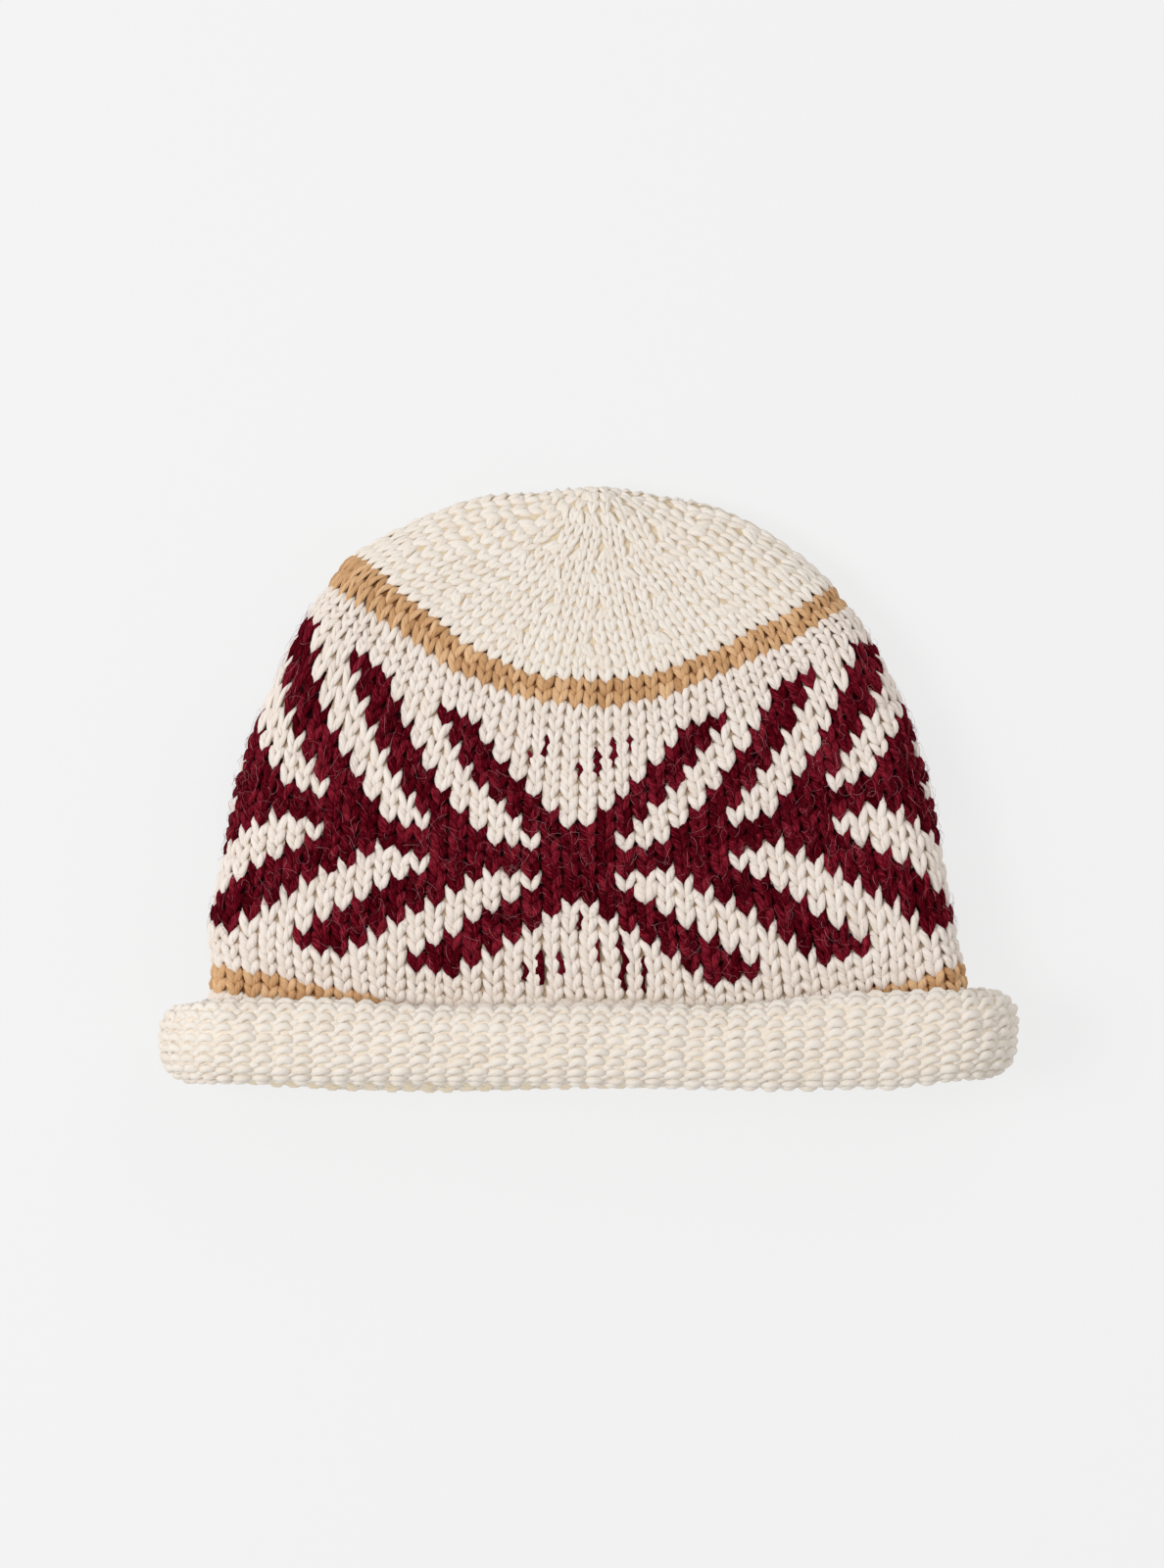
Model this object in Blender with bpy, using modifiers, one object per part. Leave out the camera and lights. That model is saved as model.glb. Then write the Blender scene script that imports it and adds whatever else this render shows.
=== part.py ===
# A knitted watch cap with a rolled brim, lying flat on its back.
# Metres, +Z up. The mouth faces -Y, the tip +Y, the front of the cap +Z.
# The origin is on the surface it lies on, below the middle of its outline.

import math

import bmesh
import bpy

# Driving sizes
CAP_LENGTH = 0.1784        # edge of the rolled brim to the tip
BODY_WIDTH = 0.2260        # across the body where it leaves the brim
BODY_THICKNESS = 0.0240    # between the two layers' middle surfaces, at the fullest
MOUTH_THICKNESS = 0.0140   # the same, inside the brim
DOME_HEIGHT = 0.0030       # how far the front swells above its side folds
WALL = 0.0040              # knitted fabric
ROLL_HEIGHT = 0.0262       # the roll, along the cap
ROLL_BULGE = 0.0143        # how far the roll stands out from the body all round: the brim is 0.2546 across
ROLL_OVERLAP = 0.0135      # how much fabric of the roll's inner turn hangs in its core
FLATTENING = 0.0016        # how far the brim's underside is pressed flat
LAYER_GAP = 0.0007         # between fabric and fabric inside the roll
PIECE_GAP = 0.0003         # between one band of the cap and the next
GATHER_DEPTH = 0.0010      # of the furrows where the crown is drawn together
GATHERS = 7

# Rows of knitting where one band ends and the next begins, counted from the brim
ROLL_ROW = 1
LOWER_STRIPE_ROW = 3
UPPER_STRIPE_ROW = 27
CROWN_ROW = 29
TIP_ROW = 46.6

# Where the rows lie. Along counts from the brim's edge as a share of the length, at the front wale and where
# the row meets the left and right folds. Reach counts from the cap's middle as a share of half the body width.
ROW_COLUMNS = ("row", "middle", "along", "left_along", "right_along", "left_reach", "right_reach", "arch")
ROWS = (
    (1.0, -0.020, 0.072, 0.156, 0.158, 0.996, 0.996, 0.00),
    (3.0, -0.020, 0.111, 0.202, 0.202, 0.990, 0.984, 0.00),
    (6.0, -0.020, 0.169, 0.270, 0.270, 0.997, 0.960, 0.00),
    (10.5, -0.020, 0.267, 0.398, 0.396, 0.957, 0.927, 0.00),
    (15.0, -0.020, 0.364, 0.530, 0.526, 0.918, 0.881, 0.00),
    (19.5, -0.020, 0.465, 0.670, 0.660, 0.829, 0.799, 0.05),
    (24.0, -0.020, 0.564, 0.797, 0.780, 0.722, 0.704, 0.10),
    (27.0, -0.020, 0.631, 0.836, 0.816, 0.668, 0.656, 0.20),
    (29.0, -0.018, 0.675, 0.878, 0.848, 0.618, 0.628, 0.30),
    (33.0, -0.008, 0.755, 0.936, 0.915, 0.452, 0.490, 0.55),
    (37.0, 0.002, 0.834, 0.978, 0.960, 0.290, 0.346, 0.80),
    (41.0, 0.012, 0.912, 0.993, 0.986, 0.146, 0.200, 1.00),
    (44.0, 0.022, 0.972, 0.998, 0.997, 0.050, 0.096, 1.00),
    (45.5, 0.025, 0.994, 1.000, 1.000, 0.010, 0.060, 1.00),
    (46.6, 0.026, 1.000, 1.000, 1.000, -0.026, 0.026, 1.00),
)

# How the layers part along the cap. Lift is a share of the back layer's height in the brim, swell a share of
# the growth from mouth to full thickness, and dome a share of the front's swelling.
HEIGHT_COLUMNS = ("along", "lift", "swell", "dome")
HEIGHTS = (
    (0.00, 1.00, 0.00, 0.00),
    (0.16, 1.00, 0.00, 0.00),
    (0.22, 0.82, 0.25, 0.15),
    (0.31, 0.46, 0.72, 0.60),
    (0.42, 0.16, 1.00, 1.00),
    (0.54, 0.02, 1.00, 1.00),
    (0.62, 0.00, 0.95, 0.95),
    (0.75, 0.00, 0.70, 0.75),
    (0.88, 0.00, 0.25, 0.35),
    (1.00, 0.00, 0.00, 0.00),
)

# How the roll's two edges stray from straight lines, across the cap from left to right: each shift is a share
# of the roll's height, toward the tip. The back of the brim slips out a little below the front.
EDGE_COLUMNS = ("across", "top", "front_bottom", "back_bottom")
EDGES = (
    (-1.00, 0.02, 0.06, 0.02),
    (-0.65, 0.04, 0.05, -0.02),
    (-0.40, -0.04, 0.05, -0.03),
    (0.00, -0.02, 0.03, 0.00),
    (0.37, -0.05, -0.01, 0.00),
    (0.60, 0.04, -0.01, 0.00),
    (0.80, 0.09, 0.00, 0.02),
    (1.00, 0.14, 0.12, 0.10),
)

# Stations round the cap and along it
FLAT_STATIONS = 8          # from the front wale to where the fold begins
FOLD_STATIONS = 5          # round the fold, from its start to the side
LEAST_FLAT = 0.5           # share of the way to the side that the flat stations cover, even at the tip
ROW_STEP = 2.6             # rows of knitting from one ring of the bands to the next
EDGE_STEP = 0.15           # the same, next to an edge, so that two bands' edges face each other squarely
TIP_STEP = 1.1             # the same, next to the tip

# Yarns: colour and roughness
CREAM = ((0.80, 0.74, 0.63, 1.0), 0.90)
TAN = ((0.56, 0.36, 0.17, 1.0), 0.90)
CREAM_AND_RED = ((0.42, 0.30, 0.27, 1.0), 0.90)

HALF_WALL = WALL / 2
HALF_BODY = BODY_WIDTH / 2 - HALF_WALL
INNER_LENGTH = CAP_LENGTH - HALF_WALL
MOUTH_LIFT = ROLL_BULGE - FLATTENING
BRIM_Y = -CAP_LENGTH / 2


def column(table, columns, name):
    index = columns.index(name)
    return [line[0] for line in table], [line[index] for line in table]


def smooth(table, columns, name, at):
    """The named column at a place along the table's first one, on a smooth curve through its lines."""
    places, values = column(table, columns, name)
    at = min(max(at, places[0]), places[-1])
    last = len(places) - 1
    low = max(i for i in range(last) if places[i] <= at)
    slopes = []
    for i in (low, low + 1):
        before, after = max(i - 1, 0), min(i + 1, last)
        slopes.append((values[after] - values[before]) / (places[after] - places[before]))
    span = places[low + 1] - places[low]
    t = (at - places[low]) / span
    rise = values[low + 1] - values[low]
    return (
        values[low]
        + rise * t * t * (3 - 2 * t)
        + span * slopes[0] * t * (1 - t) ** 2
        - span * slopes[1] * t * t * (1 - t)
    )


def linear(table, columns, name, at):
    """The named column at a place along the table's first one, on straight lines between its lines."""
    places, values = column(table, columns, name)
    for i in range(len(places) - 1):
        if at <= places[i + 1]:
            t = max(at - places[i], 0.0) / (places[i + 1] - places[i])
            return values[i] + (values[i + 1] - values[i]) * t
    return values[-1]


def layer_heights(y):
    """Height of the back layer, half the distance between the layers, and the front's swelling, at y."""
    along = (y - BRIM_Y) / INNER_LENGTH
    lift = linear(HEIGHTS, HEIGHT_COLUMNS, "lift", along) * MOUTH_LIFT
    swell = smooth(HEIGHTS, HEIGHT_COLUMNS, "swell", along)
    dome = smooth(HEIGHTS, HEIGHT_COLUMNS, "dome", along) * DOME_HEIGHT
    half = (MOUTH_THICKNESS + swell * (BODY_THICKNESS - MOUTH_THICKNESS)) / 2
    return HALF_WALL + lift, half, dome


def row_value(name, row):
    return smooth(ROWS, ROW_COLUMNS, name, row)


def tip_rounding(y, half):
    """How far the layers have closed on each other at y: 1 on the body, 0 at the tip's edge."""
    left = max(BRIM_Y + INNER_LENGTH - y, 0.0)
    short = max(1 - left / half, 0.0)
    return math.sqrt(1 - short * short)


def fold_of(row, side):
    """Half the row's width on that side, and the radius of the fold there."""
    reach = row_value("right_reach" if side > 0 else "left_reach", row)
    width = (reach - side * row_value("middle", row)) * HALF_BODY
    along = row_value("right_along" if side > 0 else "left_along", row)
    half = layer_heights(BRIM_Y + along * INNER_LENGTH)[1]
    return width, min(half, width)


def way_round(row, side):
    """The fabric's length from the front wale to where the fold begins, and on to the side."""
    width, radius = fold_of(row, side)
    return width - radius, width - radius + radius * math.pi / 2


def cap_point(row, side, share, front):
    """A point on the fabric's middle surface at a share of the way to the side, and the direction out of the
    cap there."""
    width, radius = fold_of(row, side)
    flat, whole = way_round(row, side)
    beyond = share * whole - flat
    angle = beyond / radius if beyond > 0 else 0.0
    across = flat + radius * math.sin(angle) if beyond > 0 else share * whole
    reached = across / width if width > 0 else 0.0
    arch = row_value("arch", row)
    bow = (1 - arch) * math.cos(reached * math.pi / 2) + arch * math.sqrt(max(1 - reached * reached, 0.0))
    side_along = row_value("right_along" if side > 0 else "left_along", row)
    y = BRIM_Y + (side_along + (row_value("along", row) - side_along) * bow) * INNER_LENGTH
    back, half, dome = layer_heights(y)
    rise = half * math.cos(angle) * tip_rounding(y, half)
    swell = dome * math.cos(reached * math.pi / 2) ** 2
    z = back + half + (rise + swell if front else -rise)
    x = row_value("middle", row) * HALF_BODY + side * across
    return (x, y, z), (side * math.sin(angle), math.cos(angle) if front else -math.cos(angle))


def stations(row):
    """The places round one ring: side, share of the way to it and layer, once round from the front wale."""
    quarters = {}
    for side in (1, -1):
        flat, whole = way_round(row, side)
        bend = max(flat / whole, LEAST_FLAT)
        quarters[side] = [bend * i / FLAT_STATIONS for i in range(FLAT_STATIONS)]
        quarters[side] += [bend + (1 - bend) * i / FOLD_STATIONS for i in range(FOLD_STATIONS + 1)]
    ring = [(1, share, True) for share in quarters[1]]
    ring += [(1, share, False) for share in reversed(quarters[1][:-1])]
    ring += [(-1, share, False) for share in quarters[-1][1:]]
    ring += [(-1, share, True) for share in reversed(quarters[-1][1:-1])]
    return ring


def gathered(point, row, index, count):
    """Sinks the front of the crown into shallow furrows that run to the tip."""
    depth = max((row - CROWN_ROW) / (TIP_ROW - CROWN_ROW), 0.0)
    depth *= min((TIP_ROW - row) / 3, 1.0)
    wave = 0.5 - 0.5 * math.cos(2 * math.pi * GATHERS * index / count)
    front = max(math.cos(2 * math.pi * index / count), 0.0)
    x, y, z = point
    return (x, y, z - GATHER_DEPTH * depth * wave * front)


def band_rings(first_row, last_row, closed_tip=False):
    """Rings of points for a band of the cap, from its first row to its last."""
    rows_apart = PIECE_GAP / 2 / row_height(first_row)
    start = first_row + rows_apart
    end = last_row if closed_tip else last_row - rows_apart
    steps = max(round((end - start) / ROW_STEP), 1)
    rows = [start, start + EDGE_STEP]
    rows += [start + (end - start) * i / steps for i in range(1, steps)]
    rows += [end - TIP_STEP] if closed_tip else [end - EDGE_STEP, end]
    rings = []
    for row in rows:
        points = [cap_point(row, *place)[0] for place in stations(row)]
        rings.append([gathered(p, row, k, len(points)) for k, p in enumerate(points)])
    return rings


def row_height(row):
    """The height of one row of knitting at the front wale."""
    return (row_value("along", row + 0.5) - row_value("along", row - 0.5)) * INNER_LENGTH


def arc(centre, radius, start, end, steps):
    """Points on an arc, angles in quarter turns from the inner wall's side toward the mouth."""
    points = []
    for i in range(steps + 1):
        angle = (start + (end - start) * i / steps) * math.pi / 2
        points.append((centre[0] + radius * math.sin(angle), centre[1] - radius * math.cos(angle)))
    return points


def roll_section(height):
    """The brim's fabric across the roll, as distances from its upper edge and out from the cap's body:
    round at the mouth, up the outside, over the top and down into its own core."""
    inner = WALL + LAYER_GAP
    turn = ROLL_BULGE / 2
    top = (ROLL_BULGE - inner) / 2
    path = arc((height - turn, turn), turn, 0, 2, 8)
    path.append((height / 2, ROLL_BULGE * 1.03))
    path += arc((top, inner + top), top, 2, 4, 6)
    path.append((top + ROLL_OVERLAP / 2, inner))
    path.append((top + ROLL_OVERLAP, inner))
    return path


def brim_rings():
    """Rings of points for the rolled brim, from where it leaves the lower stripe to the end of its roll."""
    start = ROLL_ROW - PIECE_GAP / 2 / row_height(ROLL_ROW)
    ring = stations(start)
    bases = [cap_point(start, *place) for place in ring]
    rings = [[point for point, _ in bases]]
    rolled = []
    for (point, out), (_, _, front) in zip(bases, ring):
        across = point[0] / HALF_BODY
        top = linear(EDGES, EDGE_COLUMNS, "top", across)
        bottom = linear(EDGES, EDGE_COLUMNS, "front_bottom" if front else "back_bottom", across)
        upper = BRIM_Y + ROLL_HEIGHT * (1 + top) - HALF_WALL
        lower = BRIM_Y + ROLL_HEIGHT * bottom + HALF_WALL
        column_points = []
        for down, away in roll_section(upper - lower):
            z = max(point[2] + away * out[1], HALF_WALL)
            column_points.append((point[0] + away * out[0], upper - down, z))
        rolled.append(column_points)
    rings += [[points[i] for points in rolled] for i in range(len(rolled[0]))]
    return rings


def shell(name, rings, yarn, collection, tip=None):
    """A band of knitted fabric through the rings, as thick as the wall, closed at the tip if one is given."""
    mesh = bpy.data.meshes.new(name)
    obj = bpy.data.objects.new(name, mesh)
    collection.objects.link(obj)
    built = bmesh.new()
    rows = [[built.verts.new(point) for point in ring] for ring in rings]
    count = len(rows[0])
    for lower, upper in zip(rows, rows[1:]):
        for i in range(count):
            j = (i + 1) % count
            built.faces.new((lower[i], lower[j], upper[j], upper[i]))
    if tip is not None:
        top = built.verts.new(tip)
        for i in range(count):
            built.faces.new((rows[-1][i], rows[-1][(i + 1) % count], top))
    bmesh.ops.recalc_face_normals(built, faces=built.faces)
    built.to_mesh(mesh)
    built.free()
    mesh.shade_smooth()
    mesh.materials.append(yarn)
    wall = obj.modifiers.new("Wall", "SOLIDIFY")
    wall.thickness = WALL
    wall.offset = 0.0
    wall.use_even_offset = True
    wall.use_quality_normals = True
    return obj


def yarn_material(name, look):
    colour, roughness = look
    material = bpy.data.materials.new(name)
    material.use_nodes = True
    shader = material.node_tree.nodes["Principled BSDF"]
    shader.inputs["Base Color"].default_value = colour
    shader.inputs["Roughness"].default_value = roughness
    shader.inputs["Metallic"].default_value = 0.0
    return material


def clear_scene():
    for obj in list(bpy.data.objects):
        bpy.data.objects.remove(obj, do_unlink=True)


def build():
    clear_scene()
    collection = bpy.data.collections.new("watch_cap")
    bpy.context.scene.collection.children.link(collection)
    cream = yarn_material("cream_yarn", CREAM)
    tan = yarn_material("tan_yarn", TAN)
    cream_and_red = yarn_material("cream_and_red_yarn", CREAM_AND_RED)

    shell("rolled_brim", brim_rings(), cream, collection)
    shell("lower_stripe", band_rings(ROLL_ROW, LOWER_STRIPE_ROW), tan, collection)
    shell("pattern_band", band_rings(LOWER_STRIPE_ROW, UPPER_STRIPE_ROW), cream_and_red, collection)
    shell("upper_stripe", band_rings(UPPER_STRIPE_ROW, CROWN_ROW), tan, collection)
    tip = cap_point(TIP_ROW, 1, 0.0, True)[0]
    shell("crown", band_rings(CROWN_ROW, TIP_ROW, closed_tip=True), cream, collection, tip)


build()
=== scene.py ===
"""A knitted watch cap with a rolled brim, lying flat on its back: its stitches, floats, loose fibres, light.

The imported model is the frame. Every stitch lies on the surfaces that the frame's solids were built from, so
the named sizes and the first three tables below follow those of the part. At the shoulders and at the edges
of the roll they stray from them by up to 2.5 mm, as the stitches do in the photograph."""

import math

import bmesh
import bpy
import numpy as np
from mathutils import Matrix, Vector


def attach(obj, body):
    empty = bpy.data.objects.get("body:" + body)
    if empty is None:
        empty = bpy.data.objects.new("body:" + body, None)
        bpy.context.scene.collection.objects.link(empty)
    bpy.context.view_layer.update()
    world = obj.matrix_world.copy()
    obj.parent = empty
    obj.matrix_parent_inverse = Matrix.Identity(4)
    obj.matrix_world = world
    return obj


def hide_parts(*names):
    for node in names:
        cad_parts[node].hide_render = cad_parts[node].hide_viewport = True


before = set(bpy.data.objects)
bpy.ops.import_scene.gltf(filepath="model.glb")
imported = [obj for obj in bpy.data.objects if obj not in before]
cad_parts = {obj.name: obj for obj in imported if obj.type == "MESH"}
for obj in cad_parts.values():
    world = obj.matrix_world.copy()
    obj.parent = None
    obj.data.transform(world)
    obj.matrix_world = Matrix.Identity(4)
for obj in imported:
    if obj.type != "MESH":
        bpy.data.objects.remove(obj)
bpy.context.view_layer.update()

SEED = 7

# Sizes of the cap, in metres
CAP_LENGTH = 0.1784
BODY_WIDTH = 0.2260
BODY_THICKNESS = 0.0240
MOUTH_THICKNESS = 0.0140
DOME_HEIGHT = 0.0030
WALL = 0.0040
ROLL_HEIGHT = 0.0262
ROLL_BULGE = 0.0143
FLATTENING = 0.0016
LAYER_GAP = 0.0007
HALF_WALL = WALL / 2
HALF_BODY = BODY_WIDTH / 2 - HALF_WALL
INNER_LENGTH = CAP_LENGTH - HALF_WALL
MOUTH_LIFT = ROLL_BULGE - FLATTENING
BRIM_Y = -CAP_LENGTH / 2

# Where the rows of knitting lie, as shares of the length and of half the width. Spread widens the stitches
# at the front wale and narrows them toward the folds.
ROW_COLUMNS = (
    "row", "middle", "along", "left_along", "right_along", "left_reach", "right_reach", "arch", "spread")
ROWS = (
    (-1.0, -0.020, 0.033, 0.110, 0.114, 0.997, 0.997, 0.00, 0.10),
    (1.0, -0.020, 0.072, 0.156, 0.158, 0.996, 0.996, 0.00, 0.10),
    (3.0, -0.020, 0.111, 0.202, 0.202, 0.990, 0.984, 0.00, 0.10),
    (6.0, -0.020, 0.169, 0.270, 0.270, 0.997, 0.960, 0.00, 0.10),
    (10.5, -0.020, 0.267, 0.398, 0.396, 0.957, 0.927, 0.00, 0.11),
    (15.0, -0.020, 0.364, 0.530, 0.526, 0.918, 0.887, 0.00, 0.12),
    (19.5, -0.020, 0.465, 0.670, 0.660, 0.832, 0.813, 0.05, 0.22),
    (24.0, -0.020, 0.564, 0.797, 0.780, 0.732, 0.712, 0.10, 0.30),
    (27.0, -0.020, 0.631, 0.838, 0.816, 0.684, 0.660, 0.20, 0.30),
    (29.0, -0.018, 0.675, 0.883, 0.848, 0.634, 0.630, 0.30, 0.28),
    (33.0, -0.008, 0.755, 0.944, 0.919, 0.468, 0.494, 0.55, 0.20),
    (37.0, 0.002, 0.834, 0.984, 0.966, 0.304, 0.350, 0.80, 0.10),
    (41.0, 0.012, 0.912, 0.993, 0.986, 0.146, 0.200, 1.00, 0.00),
    (44.0, 0.022, 0.972, 0.998, 0.997, 0.050, 0.096, 1.00, 0.00),
    (45.5, 0.025, 0.994, 1.000, 1.000, 0.010, 0.060, 1.00, 0.00),
    (46.6, 0.026, 1.000, 1.000, 1.000, -0.026, 0.026, 1.00, 0.00),
)

# How the two layers part along the cap
HEIGHT_COLUMNS = ("along", "lift", "swell", "dome")
HEIGHTS = (
    (0.00, 1.00, 0.00, 0.00),
    (0.16, 1.00, 0.00, 0.00),
    (0.22, 0.82, 0.25, 0.15),
    (0.31, 0.46, 0.72, 0.60),
    (0.42, 0.16, 1.00, 1.00),
    (0.54, 0.02, 1.00, 1.00),
    (0.62, 0.00, 0.95, 0.95),
    (0.75, 0.00, 0.70, 0.75),
    (0.88, 0.00, 0.25, 0.35),
    (1.00, 0.00, 0.00, 0.00),
)

# How the roll's edges stray from straight lines across the cap, as shares of its height
EDGE_COLUMNS = ("across", "top", "front_bottom", "back_bottom")
EDGES = (
    (-1.00, -0.07, 0.06, 0.02),
    (-0.94, 0.03, 0.06, -0.01),
    (-0.65, 0.04, 0.05, -0.09),
    (-0.52, -0.02, 0.05, -0.10),
    (-0.40, -0.04, 0.05, -0.10),
    (0.00, -0.02, 0.03, -0.06),
    (0.37, -0.05, -0.01, -0.02),
    (0.60, 0.07, -0.01, 0.00),
    (0.70, 0.12, 0.00, 0.01),
    (0.80, 0.12, 0.00, 0.02),
    (0.93, 0.14, 0.07, 0.07),
    (1.00, 0.09, 0.12, 0.10),
)

# How the stitches stray from an even layout on the front, in stitches round the cap and in rows along it:
# the factors of the powers 0 to 5 of the share of the way to the right fold
POWERS = 6
STRAY_COLUMNS = ("row", *(f"round_{i}" for i in range(POWERS)), *(f"along_{i}" for i in range(POWERS)))
STRAY = (
    (1.0, 0.19, 0.87, -0.36, -0.93, -0.16, 0.33, -0.41, -1.44, 0.39, 2.31, 0.00, -0.88),
    (6.0, 0.15, 0.75, -0.23, -1.07, -0.12, 0.48, -0.50, -1.34, -0.09, 2.43, 0.44, -1.10),
    (10.5, -0.09, 0.51, -0.03, -0.72, -0.11, 0.17, -0.03, -0.37, -0.40, 1.39, 0.68, -0.71),
    (15.0, -0.14, 0.45, -0.05, -0.50, -0.09, -0.07, 0.14, 0.45, -1.12, 0.22, 0.41, -0.10),
    (19.5, -0.23, 0.55, -0.13, -0.45, 0.11, -0.07, 0.00, 0.38, -1.73, 0.14, -0.14, -0.08),
    (24.0, -0.14, 0.39, -0.22, -0.17, 0.09, 0.07, -0.06, -0.08, -1.44, -0.07, 0.08, -0.37),
    (27.0, -0.01, 0.81, -0.65, -0.58, 0.81, -0.17, -0.05, -0.49, 0.35, -0.70, -1.62, 0.43),
    (29.0, 0.08, 1.90, -2.43, -1.43, 2.71, -0.84, -0.16, -0.56, 1.99, -0.52, -2.34, 0.48),
)
STRAY_END_ROW = 37         # where they are even again
STRAY_FADE_ROWS = 8        # how many rows before that they begin to be
WOBBLE = 0.035             # of each stitch, on top of that
WOBBLE_COUNT = 7
WAVE_LIMIT = 22            # each wobble has from 2 to 21 waves round the cap
WAVE_SLANT = 0.12          # the most turns of it for each row
WAVE_PHASE = 6.28          # the most that it begins with, in radians

# The knitting: stitches round the cap, and the first row of each band
STITCHES = 84
QUARTER = STITCHES // 4
FIRST_ROW = -1
LOWER_STRIPE_ROW = 1
BAND_ROW = 3
MOTIF_ROW = 6
MOTIF_MIDDLE_ROW = 15
MOTIF_END_ROW = 24
UPPER_STRIPE_ROW = 27
CROWN_ROW = 29
DRAWN_ROW = 45             # the last row, in which two sectors share one stitch
TIP_ROW = 46.6
TIP_GAP = 0.05             # rows below the tip that the last legs end
BAR_REPEAT = 6             # rows from one bar of the motif to the next
BAR_ROWS = 3               # how many of them are dark red

# The crown narrows in sectors of six stitches. Counts are of the stitches that have room in a sector.
SECTOR = 6
SECTOR_START = 1
COUNT_ROWS = (30, 33, 35, 37, 39, 41, 43, 44)
COUNTS = (6.0, 5.0, 4.35, 3.65, 2.90, 2.15, 1.40, 1.00)
ROUNDING = 0.45            # added to a count, of which the whole stitches are knitted
FIRST_SHARE = 0.4          # of the stitches lost, how many go from a sector's first side

# The roll keeps its stitches even round the wider way outside
ROLL_STITCHES = 96
ROLL_FIRST_ROW = -5        # inside the mouth
ROLL_END_ROW = 20
ROLL_BOW = 0.03            # how much further out the roll's wall stands halfway up
ROLL_SAMPLES = 20          # places measured for each stitch round its outside

# Dark red floats that show between the front's cream stitches: place round the cap, middle row, rows and
# width
SHOWING_FLOATS = (
    (-3, 7.3, 1.2, 0.7), (-2, 7.7, 2.2, 1.2), (-1, 8.0, 1.5, 0.8), (0, 11.1, 1.3, 0.5), (1, 9.2, 1.4, 0.5),
    (2, 8.2, 3.6, 0.9), (3, 7.3, 2.3, 0.6), (-3, 23.1, 0.9, 0.5), (-2, 23.9, 2.1, 0.7), (0, 22.5, 1.2, 0.6),
    (1, 23.2, 2.2, 0.9), (2, 23.8, 2.1, 0.9), (3, 24.2, 1.0, 0.6),
)
FLOAT_RADIUS = 0.0013      # at width 1
FLOAT_DEPTH = 0.0009       # below the wall's outside
FLOAT_REACH = 0.55         # of its rows, to each side of its middle
FLOAT_POINTS = 7
FLOAT_TAPER = 2.6          # how fast it thins toward its ends
FLOAT_LOOSENESS = 0.012    # stitches that it strays to the side
PARTING = 0.18             # stitches that a float of width 1 parts its neighbours
PARTING_REACH = 0.7        # of the float's rows
PARTING_FADE = 2.2         # for each stitch away from the float

# Yarn
YARN = 0.0025              # width of the yarn in the plain stitches
FULLNESS = 0.46            # the same in stitches, where that is less
CROWN_FULLNESS = 0.54
THINNEST_YARN = 0.0014     # where the stitches crowd together
YARN_SINK = 0.62           # widths of yarn that a stitch's middle lies below the wall's outside
BEAN_YARN = 0.0025         # its width in the bumps of the roll
BUMP_SLANT = 0.20          # rows that a bump climbs for each stitch
LINK_SINK = 0.12           # widths of yarn that the links lie below the bumps
EDGE_SINK = 0.15           # the same for the bumps of the roll's back edge
ROLL_ROW_HEIGHT = 0.0030   # rows of knitting on the roll
ROLL_DRIFT = 0.04          # stitches to the side for each row up the roll
LOOSENESS = 0.05           # how unlike each other the stitches are, in shares of their size
BUMP_LOOSENESS = 0.06
HANDOVER = 0.3             # rows above a stitch's foot where its legs begin to follow the one above
HANDOVER_END = 1.3         # rows that they go on doing so
SPLAY = 0.16               # how much wider a cream stitch lies where the one above it is dark red
SLACK_STITCH = (3, 12)     # one cream stitch that stands loose and thick
SLACK = 0.55               # how much thicker it is
TABLE_GAP = 0.00005        # yarn is pressed flat just above the table
PLY_DEPTH = 0.12           # how far the plies stand out, in radii of the yarn
PLY_TURNS = 0.85           # turns of the two plies along one leg of a stitch
BEAN_PLY_DEPTH = 0.04
BEAN_PLY_TURNS = 0.6
LEG_SQUASH = 0.88          # height of the yarn over its width
BEAN_SQUASH = 0.92
FLOAT_SQUASH = 0.55
FLOAT_PLY_TURNS = 1.5

# Loose fibres of the dark red yarn
FIBRES = 2200
FIBRE_RADIUS = 0.00004
FIBRE_LENGTHS = (0.5, 1.9)         # in stitches
FIBRE_HEIGHTS = (0.0001, 0.0012)   # of their middles
FIBRE_BEND = 2.4                   # radians that they turn from end to end
FIBRE_POINTS = 7
BACK_FIBRES = 0.25                 # of those at the front, how many there are at the back

# The backing that fills what shows between the stitches: the heights of its two faces over the fabric's
# middle surface, and how many rows above a stitch's own row its colour changes
BACKING_FACES = (0.0001, -0.0014)
CROWN_BACKING_FACES = (0.0009, -0.0014)
ROLL_BACKING_FACES = (0.0008, -0.0012)
STRIPE_SHIFT = 0.6
BAND_SHIFT = 0.8

# Photograph
PHOTO_WIDTH = 1188
PHOTO_SCALE = 0.00029      # metres to a pixel
PHOTO_CENTRE = (-0.0020, 0.0004)
CAMERA_HEIGHT = 1.7
SHARP_HEIGHT = 0.020       # height at which the scale holds
SENSOR = 36.0
FAR_CLIP = 10.0
FLOOR_SIZE = 12.0
FLOOR_GREYS = (0.128, 0.132)
FLOOR_GLOW = 0.755         # a lit table, so that shadows on it are faint
WORLD_LIGHT = 0.62
# Name, place, width and watts of each light
LIGHTS = (
    ("key", (-1.0, 0.0, 1.3), 0.75, 13.0),
    ("fill", (0.7, 1.1, 1.2), 1.2, 3.8),
)

# How far to each side the direction of a surface is taken
STITCH_STEP = 0.15         # in stitches, and in rows for the stitches themselves
ROW_STEP = 0.1             # in rows, for the backing
ROLL_STEP = 0.0005         # in metres along the roll, for its backing

rng = np.random.default_rng(SEED)
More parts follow.
